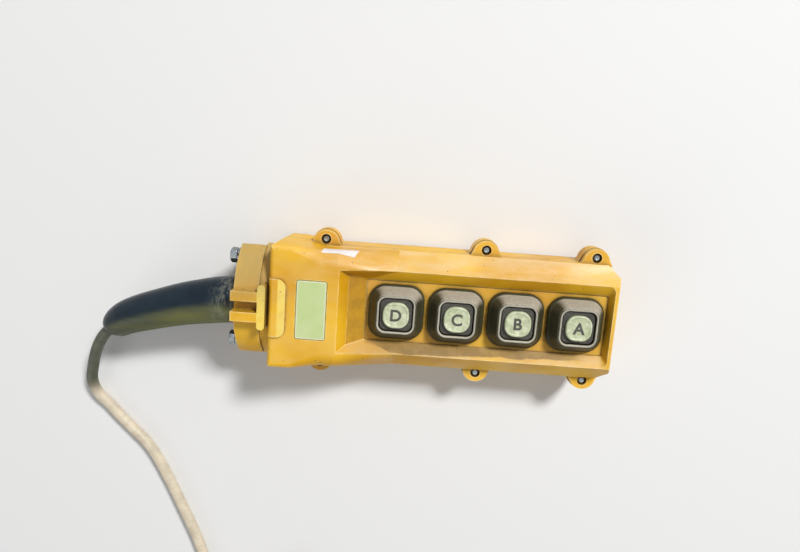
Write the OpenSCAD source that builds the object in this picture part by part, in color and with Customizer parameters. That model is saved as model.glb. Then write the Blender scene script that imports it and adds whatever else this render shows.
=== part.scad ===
// Four-button pendant control station with its cable, lying on its back.
// +X runs along the housing away from the cable, +Z points to the button side.
// The origin is below the middle of the station, on the plane it lies on.

/* [Housing] */
// Length of the housing from the collar joint to the far end
case_l = 205; // [195:1:240]
// Width across the straight side walls
case_w = 70; // [68:1:84]
// Height of the rear housing
rear_h = 26; // [20:1:40]
// Wall thickness
wall = 3; // [2:0.5:4]
// Radius of the rounded back edges
back_r = 5.5; // [4.5:1:10.5]
// Radius of the corners at the collar end
corner_r = 4.5; // [3.5:0.5:9]
// How much wider the housing is at the collar end, on each side
flare = 2.6; // [0.5:0.1:3]
// Length of the bevelled corners at the far end, along the housing
bevel_x = 8; // [5:1:11]
// Length of the bevelled corners at the far end, across the housing
bevel_y = 9; // [6:1:12]
// Thickness of the gasket between the rear housing and the cover
gasket_t = 1; // [0.5:0.5:2]
// How far the gasket stays behind the walls
gasket_inset = 0.8; // [0.5:0.1:1.5]

/* [Front cover] */
// Height of the straight cover wall above the gasket
cover_wall_h = 8; // [6:1:12]
// Height from the top of the straight wall to the guard's shoulder
shoulder_h = 9; // [6:1:14]
// How far the guard's shoulder stays inside the side walls
shoulder_in = 6.8; // [5:0.1:8]
// Height from the shoulder to the guard's crest
crest_h = 5; // [3:0.5:8]
// How far the guard's crest stays inside the side walls
crest_in = 10.3; // [9:0.1:12]
// Depth of the button tray below the crest
tray_depth = 5.5; // [4:0.5:8]
// Half width of the tray floor
tray_y = 18.3; // [17.5:0.1:20]
// Tray floor beyond the centres of the outer buttons
tray_end = 18.2; // [17.5:0.1:19]
// Depth of the tray floor below its slopes
tray_step = 0.8; // [0.5:0.1:1.2]
// Run of the tray's slope at the far end
slope_far = 2.2; // [1:0.1:4]
// Run of the tray's slope next to the label block
slope_near = 10.3; // [6:0.1:12]
// Half width of the tray next to the label block, at the height of the crest
neck_y = 21.3; // [20.5:0.1:23]
// Half width of the tray at the label block's face
mouth_y = 25; // [24:0.1:26]
// Radius of the tray's corners at the far end, at the height of the crest
tray_r = 4; // [2:0.5:6]
// Radius of the tray's other corners
tray_edge = 1; // [0.6:0.2:2]
// Run of the guard's slope at the far end of the housing
end_slope = 4.5; // [2:0.5:5]

/* [Label block] */
// Length of the raised label block
block_l = 38.5; // [36:0.5:46]
// Height of the block above the guard's crest
block_h = 8; // [4:1:12]
// How much wider than the side walls the block's top is at the collar end, on each side
block_extra = 0.7; // [0.1:0.1:1.5]
// How much narrower the block is next to the tray, on each side
block_draft = 0.6; // [0.3:0.1:2]
// Radius of the block's edges at the collar end
edge_r = 3; // [1.5:0.5:5]
// Radius of the block's long edges next to the tray
block_r = 9; // [5:0.5:9]
// Length of the block's widest part, which has the smaller radius
square_l = 13; // [8:1:18]
// Length of the block's part with the larger radius
soft_l = 9; // [4:1:12]
// Length over which the guard rises to the block
rise_l = 34; // [20:1:40]
// Run of the slope from the block's face down to the crest height
ramp_l = 6; // [4:0.5:8]
// Length of the raised pad at the collar
pad_l = 10; // [7:0.5:12]
// Width of the raised pad and of the collar's bar
pad_w = 34; // [24:1:40]
// Height of the raised pad
pad_h = 1.5; // [1:0.5:2]
// Length of the label plate along the housing
plate_l = 17; // [14:0.5:20]
// Width of the label plate across the housing
plate_w = 34; // [24:1:40]
// Thickness of the label plate
plate_t = 1; // [0.8:0.1:1.5]
// Corner radius of the label plate
plate_r = 1.3; // [0.5:0.1:3]
// Gap around the label plate in its recess
plate_gap = 0.3; // [0.1:0.1:0.5]
// Distance from the collar joint to the middle of the label plate
plate_x = 24.5; // [23:0.5:27]

/* [Ears and cover screws] */
// Distance of the screws outside the straight walls
ear_out = 3.4; // [3.4:0.1:5]
// Distance of the last screws from the far end
ear_end = 14; // [12:0.5:18]
// Spacing from the last screws to the middle ones
ear_pitch_far = 66.5; // [60:0.5:70]
// Spacing from the middle screws to the first ones
ear_pitch_near = 96.5; // [90:0.5:98]
// Radius of the cover's ears
ear_r = 8; // [7:0.5:9]
// How far the screws sit outwards in the ears
ear_offset = 2.5; // [1:0.5:3]
// How far the ears flare out next to the side walls
ear_flare = 2; // [0.5:0.5:3]
// Thickness of the cover's ears
ear_t = 4; // [3:0.5:6]
// How much wider the rear housing's ears are
rear_ear_extra = 0.5; // [0:0.5:1.5]
// Thickness of the rear housing's ears
rear_ear_t = 9; // [6:1:14]
// Diameter of the holes in the cover's ears
ear_hole_d = 5.9; // [5:0.1:6.5]
// Diameter of the cover screws
screw_d = 4; // [3:0.5:4.5]
// Diameter of the cover screws' heads
screw_head_d = 6.4; // [5.5:0.1:6.6]
// Height of the cover screws' heads
screw_head_h = 2.6; // [2:0.1:4]
// Depth of the cover screws' ends below the ears' faces
screw_sink = 0.6; // [0.2:0.1:1]

/* [Buttons] */
// Spacing of the buttons
pitch = 35; // [34:0.5:36]
// Distance of the first button from the far end
button_end = 27; // [26:0.5:34]
// Travel of a button
travel = 4; // [2:0.5:4.5]
// Room left under a pressed button
button_rest = 1; // [0.5:0.1:1]
// Width of a rubber boot at its foot
boot_w = 32.5; // [29:0.5:33.5]
// Corner radius of a boot at its foot
boot_r = 9.5; // [6:0.5:12]
// Thickness of a boot's foot
boot_foot = 3; // [2:0.5:4]
// Width of the ledge on a boot's foot
boot_ledge = 0.5; // [0.2:0.1:1]
// Height of a boot
boot_h = 11; // [10:0.5:14]
// Width of a boot's rim
rim_w = 23; // [22:0.5:25]
// Corner radius of a boot's rim
rim_r = 5.5; // [4:0.5:8]
// Width of the plunger
plunger_w = 18.6; // [17:0.1:19]
// Corner radius of the plunger
plunger_r = 3.5; // [2:0.5:6]
// Gap between a plunger and its boot
plunger_gap = 0.4; // [0.3:0.1:0.8]
// Depth of a plunger's top below the boot's rim
plunger_sink = 1.5; // [0.5:0.5:2.5]
// Diameter of the plunger's stem
stem_d = 12; // [8:0.5:13]
// Radial clearance of the stem in its bore
stem_gap = 0.05; // [0.02:0.01:0.1]
// Diameter of the stem's stop flange
stop_d = 15; // [14.5:0.5:18]
// Thickness of the stem's stop flange
stop_t = 2; // [1:0.5:3]
// Gap between the stop flange and the cover
stop_gap = 0.3; // [0.2:0.1:0.5]
// Width of the inlaid disc
disc_w = 15; // [12:0.5:15]
// Corner radius of the inlaid disc
disc_r = 5.5; // [3:0.5:7]
// Thickness of the inlaid disc
disc_t = 2.4; // [1:0.2:3]

/* [Collar] */
// Length of the collar
collar_l = 20; // [18:1:28]
// Gap between the collar and the housing
collar_gap = 0.8; // [0.5:0.1:1.5]
// How far the collar's sides stay inside the housing's
collar_inset = 2; // [1.5:0.5:5]
// How much narrower the collar's underside is, on each side
collar_lean = 5.5; // [3:0.5:8]
// Length of the flange next to the housing
flange_l = 5.6; // [4.5:0.1:7]
// How far the flange stands out beyond the collar's sides
flange_out = 1; // [0.5:0.5:1.5]
// How far the flange stays below the collar's crown
flange_drop = 1; // [0.5:0.5:2]
// How much larger the crown's radius is than the collar's half width
crown_extra = 7; // [4:0.5:12]
// How far the collar's crown stays below the label block's face
crown_drop = 3; // [2:0.5:4]
// Height of the collar's underside
collar_z = 4; // [2:0.5:8]
// Size of the bevel along the collar's underside
collar_foot = 4; // [2:0.5:6]
// Width of each rib
rib_w = 5.6; // [4:0.2:8]
// Width of the slot between the ribs
slot_w = 6.2; // [4.5:0.1:7]
// Depth of the slot below the ribs
slot_depth = 8; // [6:0.5:8.5]
// Height of the ribs above the crown
rib_h = 6; // [4:0.5:7]
// Length of the bar across the ribs
bar_l = 4.4; // [3:0.2:5]
// Gap from the bar to the end of the flange
bar_gap = 0.4; // [0.2:0.1:1]
// How much shorter the bar is than the pad
bar_short = 8; // [4:1:12]
// Height of the collar bolts above the back
bolt_z = 35; // [34:0.5:38]
// Distance of the collar bolts inside the side walls
bolt_in = 9.5; // [9:0.5:10.5]
// Diameter of the collar bolts
bolt_d = 5; // [4:0.5:6]
// Length of a bolt's shank beyond the collar
bolt_reach = 10; // [6:1:14]
// Diameter of the bosses that the collar bolts are driven into
boss_d = 12; // [10:0.5:13]
// Width of a bolt head across its flats
bolt_af = 8; // [7:0.5:10]
// Height of a bolt head
bolt_head_h = 4; // [3:0.1:5]
// Thickness of a bolt's washer
washer_t = 1.2; // [0.8:0.1:1.5]
// Diameter of a bolt's washer
washer_d = 10; // [9:0.5:11]
// Thickness of a bolt's spring washer
spring_t = 1.4; // [1:0.1:2]
// Diameter of a bolt's spring washer
spring_d = 8.6; // [8:0.1:9]

/* [Sleeve and cable] */
// Diameter of the sleeve's root in the collar
root_d = 27.4; // [24:0.2:28]
// Radial clearance of the sleeve's root
root_gap = 0.3; // [0.1:0.1:0.5]
// How far the sleeve's root reaches out of the collar
root_lap = 3; // [1:0.5:5]
// Height of the sleeve above the back
sleeve_z = 36; // [35:0.5:37]
// Diameter of the cable
cable_d = 7; // [6:0.5:8]
// Width of the tie around the coil
tie_w = 8; // [5:0.5:10]
// Thickness of the tie
tie_t = 1.2; // [0.8:0.1:2]

/* [Connector] */
// Diameter of the connector's coupling ring
ring_d = 26; // [24:1:32]
// Length of the coupling ring
ring_l = 18; // [12:1:24]
// Diameter of the connector's body
plug_d = 20; // [18:1:23]
// Length of the connector's body
plug_l = 26; // [20:1:40]
// Length of the connector's cable nut
nut_l = 12; // [8:1:16]
// Diameter of the connector's cable nut
nut_d = 16; // [13:1:18]
// Thickness of the ring's wall
ring_wall = 2.4; // [2:0.2:3]
// How far the contact insert stays inside the body's wall
insert_in = 1.5; // [1:0.1:2]
// Length of the contact pins
pin_l = 9; // [6:1:11]
// Diameter of a contact pin
pin_d = 2; // [1.5:0.5:2.5]
// Radius of the circle of pins
pin_circle_r = 4.2; // [3.8:0.2:5]
// Number of contact pins
pins = 6; // [4:1:8]

/* [Hidden] */

$fn = 48;
yellow = [0.93, 0.66, 0.12];
dark_rubber = [0.16, 0.15, 0.15];
zinc = [0.72, 0.72, 0.70];
sheath = [0.55, 0.53, 0.50];
eps = 0.01;
hole_gap = 0.4;
head_gap = 0.15;

// Along the housing
bolt_stick = bolt_head_h + washer_t + spring_t;
overall_l = case_l + collar_gap + collar_l + bolt_stick;
x_far = overall_l / 2;
x_case = x_far - case_l;
x_collar = x_case - collar_gap;
x_collar_end = x_collar - collar_l;
x_flange = x_collar - flange_l;
x_bar = x_collar - bar_gap - bar_l;
x_block = x_case + block_l;
x_square = x_case + square_l;
x_soft = x_block - soft_l;
button_x = [for (i = [0:3]) x_far - button_end - i * pitch];
x_floor_far = button_x[0] + tray_end;
x_floor_near = button_x[3] - tray_end;
ear_x = [
    x_far - ear_end - ear_pitch_far - ear_pitch_near,
    x_far - ear_end - ear_pitch_far,
    x_far - ear_end
];

// Heights
z_cover = rear_h + gasket_t;
z_ear = z_cover + ear_t;
z_wall = z_cover + cover_wall_h;
z_shoulder = z_wall + shoulder_h;
z_crest = z_shoulder + crest_h;
z_floor = z_crest - tray_depth;
z_block = z_crest + block_h;
z_pad = z_block + pad_h;
crown_z = z_block - crown_drop;
z_rib = crown_z + rib_h;
z_rim = z_floor + boot_h;
z_plunger = z_rim - plunger_sink;
z_under = z_floor + travel + button_rest;
z_stop = z_floor - wall - stop_gap;

// Across the housing
half_w = case_w / 2;
half_pad = pad_w / 2;
half_collar = half_w - collar_inset;
shoulder_y = half_w - shoulder_in;
crest_y = half_w - crest_in;
row_y = half_w + ear_out;
bolt_y = half_w - bolt_in;
crown_r = half_collar + crown_extra;
crown_at = crown_z - crown_r;

// Bends of the sleeve from the collar's end: [x, y, z, radius] along its middle line
sleeve_path = [
    [-0.8, -0.9, 0, 14.2], [-3, -0.9, 0, 14.2], [-6.9, -1.6, 0, 14.2], [-12.4, -2.3, 0, 14.1],
    [-19.4, -3.5, 0, 13.8], [-32.4, -6, 0, 13.1], [-45.4, -9.5, -0.5, 12.3], [-58.4, -13.5, -1.3, 11.6],
    [-68.4, -17.3, -2.5, 10.8], [-75, -21.2, -4.5, 9.9], [-78.6, -24.2, -5.8, 8.6], [-80.2, -26.3, -6.5, 6.6]
];

// Places that the free cable passes, from the collar's end: [x, y, height above the ground]
cable_path = [
    [-79.9, -26, 26], [-86.2, -30.3, 24.5], [-93, -39.5, 20.5], [-98.6, -50, 15], [-102.7, -60, 9.8],
    [-105.2, -68, 6.2], [-105.2, -75, 3.2], [-102.8, -81.8, 0.9], [-96.9, -88, 0], [-89.4, -96, 0],
    [-80.4, -105, 0], [-71.4, -114, 0], [-64.4, -124, 0], [-58.4, -135, 0], [-52.4, -147, 0],
    [-46.4, -160, 0], [-40.4, -173, 0], [-34.4, -187, 0], [-29.4, -203, 0],
    [-26.4, -220, 0], [-24.9, -238, 0], [-24.4, -256, 0]
];

// The coil that the rest of the cable is wound into
coil_at = [24.6, -256];
coil_turns = 3;
coil_layers = 2;
coil_r = 11 * cable_d / 2;
coil_in = coil_r - (coil_turns + 1) * cable_d / 2;
coil_out = coil_r + (coil_turns + 1) * cable_d / 2;

// The short end from the coil to the connector
tail_path = [
    [24.6, -305, 7], [34.6, -305, 7.2], [44.6, -305, 8.2],
    [52.6, -305, 9.2], [58.6, -305, 9.5], [64.6, -305, 9.5]
];
plug_at = tail_path[5];
nut_root_d = cable_d + 4;
ring_lap = 6;
insert_t = 2;

// An outline in Y and Z carried along X from x0 to x1
module along_x(x0, x1) {
    translate([x0, 0, 0]) rotate([90, 0, 90]) linear_extrude(x1 - x0) children();
}

// An outline in X and Z carried across Y from -half to half
module across_y(half) {
    translate([0, half, 0]) rotate([90, 0, 0]) linear_extrude(2 * half) children();
}

// A square with round corners
module soft_square(width, length, radius) {
    square([width - 2 * radius, length], center = true);
    square([width, length - 2 * radius], center = true);
    for (sx = [-1, 1], sy = [-1, 1])
        translate([sx * (width / 2 - radius), sy * (length / 2 - radius)]) circle(radius);
}

// The housing's outline seen from the front, set in by a margin and wider at the collar end
module outline(inset, wider = 0) {
    r = corner_r - inset;
    w = half_w - inset;
    we = w + wider;
    slant = sqrt(bevel_x * bevel_x + bevel_y * bevel_y);
    xb = x_far - bevel_x - inset * (slant - bevel_x) / bevel_y;
    yb = half_w - bevel_y - inset * (slant - bevel_y) / bevel_x;
    x0 = x_case + inset;
    x1 = x_far - inset;
    polygon([
        [x0, -we + r], [x0 + r, -we], [x_square, -we], [x_soft, -w], [xb, -w], [x1, -yb],
        [x1, yb], [xb, w], [x_soft, w], [x_square, we], [x0 + r, we], [x0, we - r]
    ]);
    for (s = [-1, 1]) translate([x0 + r, s * (we - r)]) circle(r);
}

// The rear housing's section across, with round back edges
module back_section(inset, wider = 0) {
    r = back_r - inset;
    w = half_w - inset + wider;
    translate([-w, back_r]) square([2 * w, rear_h]);
    translate([-w + r, inset]) square([2 * (w - r), back_r]);
    for (s = [-1, 1]) translate([s * (w - r), back_r]) circle(r);
}

// The rear housing's section along, with round back edges
module side_section(inset) {
    r = back_r - inset;
    x0 = x_case + inset;
    x1 = x_far - inset;
    translate([x0, back_r]) square([x1 - x0, rear_h]);
    translate([x0 + r, inset]) square([x1 - x0 - 2 * r, back_r]);
    for (x = [x0 + r, x1 - r]) translate([x, back_r]) circle(r);
}

// The rounded block of the rear housing, set in by a margin
module rear_form(inset, height) {
    intersection() {
        along_x(x_case, x_far) back_section(inset);
        across_y(half_w) side_section(inset);
        linear_extrude(height) outline(inset);
    }
}

// The wider end of the rear housing next to the collar
module rear_flare() {
    intersection() {
        union() {
            along_x(x_case, x_square) back_section(0, flare);
            hull() {
                along_x(x_square - eps, x_square, $fn = 32) back_section(0, flare);
                along_x(x_soft - eps, x_soft, $fn = 32) back_section(0);
            }
        }
        across_y(half_w + flare) side_section(0);
        linear_extrude(rear_h) outline(0, flare);
    }
}

// An ear that flares into the side wall, between two heights
module ear(x, side, radius, z0, z1) {
    reach = row_y - ear_offset - half_w + wall / 2;
    flare = radius + ear_flare;
    tip = 20;
    lap = radius - 0.3;
    translate([x, side * (row_y - ear_offset), z0]) linear_extrude(z1 - z0) {
        circle(radius);
        polygon([
            [-flare, -side * reach], [flare, -side * reach],
            [lap * cos(tip), side * lap * sin(tip)], [-lap * cos(tip), side * lap * sin(tip)]
        ]);
    }
}

module each_ear() {
    for (x = ear_x, side = [-1, 1]) translate([x, side * row_y, 0]) children();
}

module rear_housing() {
    color(yellow) difference() {
        union() {
            rear_form(0, rear_h);
            rear_flare();
            for (x = ear_x, side = [-1, 1])
                ear(x, side, ear_r + rear_ear_extra, rear_h - rear_ear_t, rear_h);
        }
        rear_form(wall, rear_h + 1);
        each_ear() translate([0, 0, rear_h - rear_ear_t - eps])
            cylinder(d = screw_d + hole_gap, h = rear_ear_t + 2 * eps);
        each_ear() cylinder(d = screw_head_d + 2 * head_gap, h = rear_h - rear_ear_t);
    }
}

module gasket() {
    color(dark_rubber) translate([0, 0, rear_h]) linear_extrude(gasket_t) difference() {
        outline(gasket_inset, flare);
        outline(wall);
    }
}

// The guard's section across
module guard_section() {
    polygon([
        [-half_w, z_cover], [-half_w, z_wall], [-shoulder_y, z_shoulder], [-crest_y, z_crest],
        [crest_y, z_crest], [shoulder_y, z_shoulder], [half_w, z_wall], [half_w, z_cover]
    ]);
}

// The label block's section across, with its half width at the foot and at the top
// and the radius of its edges
module block_section(foot_half, top_half, radius) {
    zc = z_block - radius;
    yc = top_half - radius;
    polygon([
        [-foot_half, z_cover], [-top_half, zc], [-yc, z_block],
        [yc, z_block], [top_half, zc], [foot_half, z_cover]
    ]);
    for (s = [-1, 1]) translate([s * yc, zc]) circle(radius);
}

// The cover's section along: round at the collar end, sloped at the far end
module cover_side_section() {
    polygon([
        [x_case, z_cover], [x_case, z_block - edge_r], [x_case + edge_r, z_block],
        [x_far - end_slope, z_block], [x_far - end_slope, z_crest], [x_far, z_wall], [x_far, z_cover]
    ]);
    translate([x_case + edge_r, z_block - edge_r]) circle(edge_r);
}

// The outside of the cover, before the tray and the cavity are cut
module cover_form() {
    foot = half_w + flare;
    wide = half_w + block_extra;
    top = half_w - block_draft;
    intersection() {
        union() {
            along_x(x_case, x_far) guard_section();
            along_x(x_case, x_square) block_section(foot, wide, edge_r);
            hull() {
                along_x(x_square - eps, x_square, $fn = 32) block_section(foot, wide, edge_r);
                along_x(x_soft, x_soft + eps, $fn = 32) block_section(half_w, top, block_r);
            }
            along_x(x_soft, x_block) block_section(half_w, top, block_r);
            hull() {
                along_x(x_block - eps, x_block, $fn = 32) block_section(half_w, top, block_r);
                along_x(x_block + rise_l - eps, x_block + rise_l) guard_section();
            }
        }
        across_y(foot) cover_side_section();
        translate([0, 0, z_cover]) linear_extrude(z_pad) outline(0, flare);
    }
}

// A thin post at one of the tray's corners, on both sides
module tray_corner(x, y, z, radius) {
    for (s = [-1, 1]) translate([x, s * (y - radius), z]) cylinder(r = radius, h = eps, $fn = 32);
}

// The tray's outline at the height of the crest, carried up or down to another height
module tray_top(x_near, y_near, z) {
    x_top = x_floor_far + slope_far;
    tray_corner(x_near + tray_edge, y_near, z, tray_edge);
    tray_corner(button_x[3], crest_y, z, tray_edge);
    tray_corner(x_top - tray_r, crest_y, z, tray_r);
}

// The tray between the guards, with the long slope up to the label block
module tray_cut() {
    x_near = x_floor_near - slope_near;
    z_slope = z_floor + tray_step;
    floor_l = x_floor_far - x_floor_near;
    translate([x_floor_near + floor_l / 2, 0, z_floor]) linear_extrude(tray_depth)
        soft_square(floor_l, 2 * tray_y, tray_edge);
    hull() {
        tray_corner(x_floor_near + tray_edge, tray_y, z_slope, tray_edge);
        tray_corner(x_floor_far - tray_edge, tray_y, z_slope, tray_edge);
        tray_top(x_near, neck_y, z_crest);
    }
    hull() {
        tray_top(x_near, neck_y, z_crest);
        tray_top(x_near - ramp_l, mouth_y, z_block + pad_h);
    }
}

// Half width of the guard's outer slope at a height, and how far in its wall reaches there
function slope_y(z) = half_w - (z - z_wall) * (half_w - shoulder_y) / shoulder_h;
slope_wall = wall * norm([half_w - shoulder_y, shoulder_h]) / shoulder_h;

// The closed space behind the cover
module cover_cavity() {
    top = z_floor - wall;
    bend = min(z_wall, top - 1);
    y_low = half_w - slope_wall;
    y_top = slope_y(top) - slope_wall;
    difference() {
        union() {
            intersection() {
                along_x(x_case, x_far) polygon([
                    [-y_low, z_cover - 1], [-y_low, bend], [-y_top, top],
                    [y_top, top], [y_low, bend], [y_low, z_cover - 1]
                ]);
                translate([0, 0, z_cover - 1]) linear_extrude(z_block) outline(wall);
            }
            translate([x_case + wall, -tray_y, z_cover])
                cube([block_l - ramp_l - wall, 2 * tray_y, z_block - wall - z_cover]);
        }
        for (s = [-1, 1]) translate([x_case, s * bolt_y, bolt_z]) rotate([0, 90, 0])
            cylinder(d = boss_d, h = bolt_reach + wall);
    }
}

// The holes for the collar bolts, along X from x0 to x1
module bolt_holes(x0, x1) {
    for (s = [-1, 1]) translate([x0, s * bolt_y, bolt_z]) rotate([0, 90, 0])
        cylinder(d = bolt_d + hole_gap, h = x1 - x0);
}

module front_cover() {
    color(yellow) difference() {
        union() {
            cover_form();
            for (x = ear_x, side = [-1, 1]) ear(x, side, ear_r, z_cover, z_ear);
            pad();
        }
        tray_cut();
        cover_cavity();
        bolt_holes(x_case - 1, x_case + bolt_reach + 0.5);
        for (x = button_x) translate([x, 0, z_floor - wall - eps])
            cylinder(d = stem_d + 2 * stem_gap, h = wall + 1);
        each_ear() translate([0, 0, z_cover - eps]) cylinder(d = ear_hole_d, h = ear_t + 2 * eps);
        translate([x_case + plate_x, 0, z_block - plate_t / 2]) linear_extrude(pad_h)
            soft_square(plate_l + 2 * plate_gap, plate_w + 2 * plate_gap, plate_r + plate_gap);
    }
}

// The raised pad next to the collar, round at the collar's side
module pad() {
    r = pad_l / 2;
    intersection() {
        translate([x_case, 0, z_block - edge_r]) linear_extrude(edge_r + pad_h) {
            translate([0, -half_pad]) square([pad_l - r, pad_w]);
            translate([0, -half_pad + r]) square([pad_l, pad_w - 2 * r]);
            for (s = [-1, 1]) translate([pad_l - r, s * (half_pad - r)]) circle(r);
        }
        across_y(half_pad) union() {
            translate([x_case + edge_r, 0]) square([pad_l, z_pad]);
            translate([x_case + eps, 0]) square([pad_l, z_pad - edge_r]);
            translate([x_case + edge_r, z_pad - edge_r]) circle(edge_r - eps);
        }
    }
}

module label_plate() {
    color([0.80, 0.86, 0.74]) translate([x_case + plate_x, 0, z_block - plate_t / 2])
        linear_extrude(plate_t) soft_square(plate_l, plate_w, plate_r);
}

// A rubber boot on the tray's floor around button number i
module boot(i) {
    hole_w = plunger_w + 2 * plunger_gap;
    hole_r = plunger_r + plunger_gap;
    color(dark_rubber) translate([button_x[i], 0, z_floor]) difference() {
        union() {
            linear_extrude(boot_foot) soft_square(boot_w, boot_w, boot_r);
            hull() {
                translate([0, 0, boot_foot - eps]) linear_extrude(eps, $fn = 32)
                    soft_square(boot_w - 2 * boot_ledge, boot_w - 2 * boot_ledge, boot_r - boot_ledge);
                translate([0, 0, boot_h - eps]) linear_extrude(eps, $fn = 32)
                    soft_square(rim_w, rim_w, rim_r);
            }
        }
        translate([0, 0, -eps]) linear_extrude(boot_h + 1) soft_square(hole_w, hole_w, hole_r);
    }
}

// The moving part of button number i: plunger, stem and stop flange
module button(i) {
    color([0.22, 0.21, 0.20]) translate([button_x[i], 0, 0]) {
        translate([0, 0, z_under]) linear_extrude(z_plunger - z_under)
            soft_square(plunger_w, plunger_w, plunger_r);
        translate([0, 0, z_stop - stop_t]) cylinder(d = stem_d, h = z_under - z_stop + stop_t + eps);
        translate([0, 0, z_stop - stop_t]) cylinder(d = stop_d, h = stop_t);
    }
}

// The pale disc inlaid in button number i
module disc(i) {
    color([0.66, 0.70, 0.64]) translate([button_x[i], 0, z_plunger])
        linear_extrude(disc_t) soft_square(disc_w, disc_w, disc_r);
}

// Cover screw in column c (0 to 2) on one side, driven from the rear ear
module cover_screw(c, side) {
    z_head = rear_h - rear_ear_t;
    color(zinc) translate([ear_x[c], side * row_y, 0]) {
        translate([0, 0, z_head - screw_head_h]) cylinder(d = screw_head_d, h = screw_head_h);
        translate([0, 0, z_head - eps]) cylinder(d = screw_d, h = z_ear - z_head - screw_sink);
    }
}

// A section of the collar: round crown, sides that lean in, bevelled foot
module collar_section(half, radius) {
    z_side = crown_at + sqrt(radius * radius - half * half);
    low = half - collar_lean;
    intersection() {
        translate([0, crown_at]) circle(radius, $fn = 96);
        polygon([
            [-half, crown_z], [-half, z_side], [-low - collar_foot / 4, collar_z + collar_foot],
            [-low + collar_foot, collar_z], [low - collar_foot, collar_z],
            [low + collar_foot / 4, collar_z + collar_foot], [half, z_side], [half, crown_z]
        ]);
    }
}

module collar() {
    root = slot_depth + 2;
    color(yellow) difference() {
        union() {
            along_x(x_collar_end, x_flange + eps) collar_section(half_collar, crown_r);
            along_x(x_flange, x_collar)
                collar_section(half_collar + flange_out, crown_r - flange_drop);
            for (s = [-1, 1])
                translate([x_collar_end, s * (slot_w + rib_w) / 2 - rib_w / 2, z_rib - root])
                    cube([x_bar - x_collar_end + bar_l / 2, rib_w, root]);
            translate([x_bar + bar_l / 2, 0, z_rib - root]) linear_extrude(root)
                soft_square(bar_l, pad_w - bar_short, bar_l / 2 - eps);
        }
        translate([x_collar_end - 1, -slot_w / 2, z_rib - slot_depth])
            cube([x_bar - x_collar_end + 1, slot_w, slot_depth + 1]);
        translate([x_collar_end - 1, 0, sleeve_z]) rotate([0, 90, 0])
            cylinder(d = root_d + 2 * root_gap, h = collar_l + 2);
        bolt_holes(x_collar_end - 1, x_collar + 1);
    }
}

// Collar bolt with its washers, on one side
module collar_bolt(side) {
    color(zinc) translate([x_collar_end, side * bolt_y, bolt_z]) rotate([0, -90, 0]) {
        cylinder(d = washer_d, h = washer_t);
        translate([0, 0, washer_t]) cylinder(d = spring_d, h = spring_t);
        translate([0, 0, washer_t + spring_t]) cylinder(d = bolt_af / cos(30), h = bolt_head_h, $fn = 6);
        shank = x_case + bolt_reach - x_collar_end;
        translate([0, 0, -shank]) cylinder(d = bolt_d, h = shank + eps);
    }
}

// Turns a path into rings of points, each square to the path
function unit(v) = v / norm(v);
function heading(path, i) = unit(path[min(i + 1, len(path) - 1)] - path[max(i - 1, 0)]);
function ring_at(p, dir, r, sides) =
    let (side = unit(cross(dir, [0, 0, 1])), up = cross(side, dir))
    [for (k = [0:sides - 1]) let (a = 360 * k / sides) p + r * (cos(a) * side + sin(a) * up)];
function tube_points(path, radii, sides) =
    [for (i = [0:len(path) - 1]) each ring_at(path[i], heading(path, i), radii[i], sides)];
function tube_faces(n, sides) = [
    [for (k = [sides - 1:-1:0]) k],
    for (i = [0:n - 2], k = [0:sides - 1])
        let (a = i * sides + k, b = i * sides + (k + 1) % sides) [a, b, b + sides, a + sides],
    [for (k = [0:sides - 1]) (n - 1) * sides + k]
];

module tube(path, radii, sides) {
    points = tube_points(path, radii, sides);
    polyhedron(points = points, faces = tube_faces(len(path), sides), convexity = 4);
}

// The path with a point added in the middle of each stretch, on a smooth curve
function between(path, i, t) =
    let (
        a = path[max(i - 1, 0)], b = path[i], c = path[i + 1], d = path[min(i + 2, len(path) - 1)]
    )
    b + (c - a) * t / 2 + (a - 2.5 * b + 2 * c - d / 2) * t * t
    + (1.5 * b - a / 2 - 1.5 * c + d / 2) * t * t * t;
function smooth(path, steps) = [
    for (i = [0:len(path) - 2], s = [0:steps - 1]) between(path, i, s / steps),
    path[len(path) - 1]
];

module cable_sleeve() {
    color([0.10, 0.11, 0.13]) translate([x_collar_end, 0, sleeve_z]) {
        translate([-root_lap, 0, 0]) rotate([0, 90, 0]) cylinder(d = root_d, h = collar_l + root_lap);
        tube(
            [for (p = sleeve_path) [p[0], p[1], p[2]]],
            [for (p = sleeve_path) p[3]],
            24
        );
    }
}

// A round length of cable along a path that starts from the collar's end
module cable_along(path) {
    bends = smooth(path, 2);
    radii = [for (p = bends) cable_d / 2];
    color(sheath) translate([x_collar_end, 0, cable_d / 2]) tube(bends, radii, 10);
}

module cable() {
    cable_along(cable_path);
}

module cable_tail() {
    cable_along(tail_path);
}

module coil_form() {
    h = coil_layers * cable_d;
    r = cable_d / 2;
    translate([x_collar_end + coil_at[0], coil_at[1], 0]) rotate_extrude($fn = 96) {
        translate([coil_in + r, 0]) square([coil_out - coil_in - 2 * r, h]);
        translate([coil_in, r]) square([coil_out - coil_in, h - 2 * r]);
        for (x = [coil_in + r, coil_out - r], z = [r, h - r]) translate([x, z]) circle(r, $fn = 24);
    }
}

module cable_coil() {
    color(sheath) coil_form();
}

// The tie that holds the coil, over its far side
module coil_tie() {
    depth = coil_out - coil_in + 2 * tie_t;
    color([0.12, 0.12, 0.12]) difference() {
        translate([x_collar_end + coil_at[0] - tie_w / 2, coil_at[1] + coil_in - tie_t, 0])
            cube([tie_w, depth, coil_layers * cable_d + tie_t]);
        coil_form();
    }
}

module at_plug() {
    translate([x_collar_end, 0, cable_d / 2] + plug_at) rotate([0, 90, 0]) children();
}

module plug_body() {
    color([0.14, 0.14, 0.15]) at_plug() {
        cylinder(d1 = nut_root_d, d2 = nut_d, h = nut_l);
        translate([0, 0, nut_l]) cylinder(d = plug_d, h = plug_l);
    }
}

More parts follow.
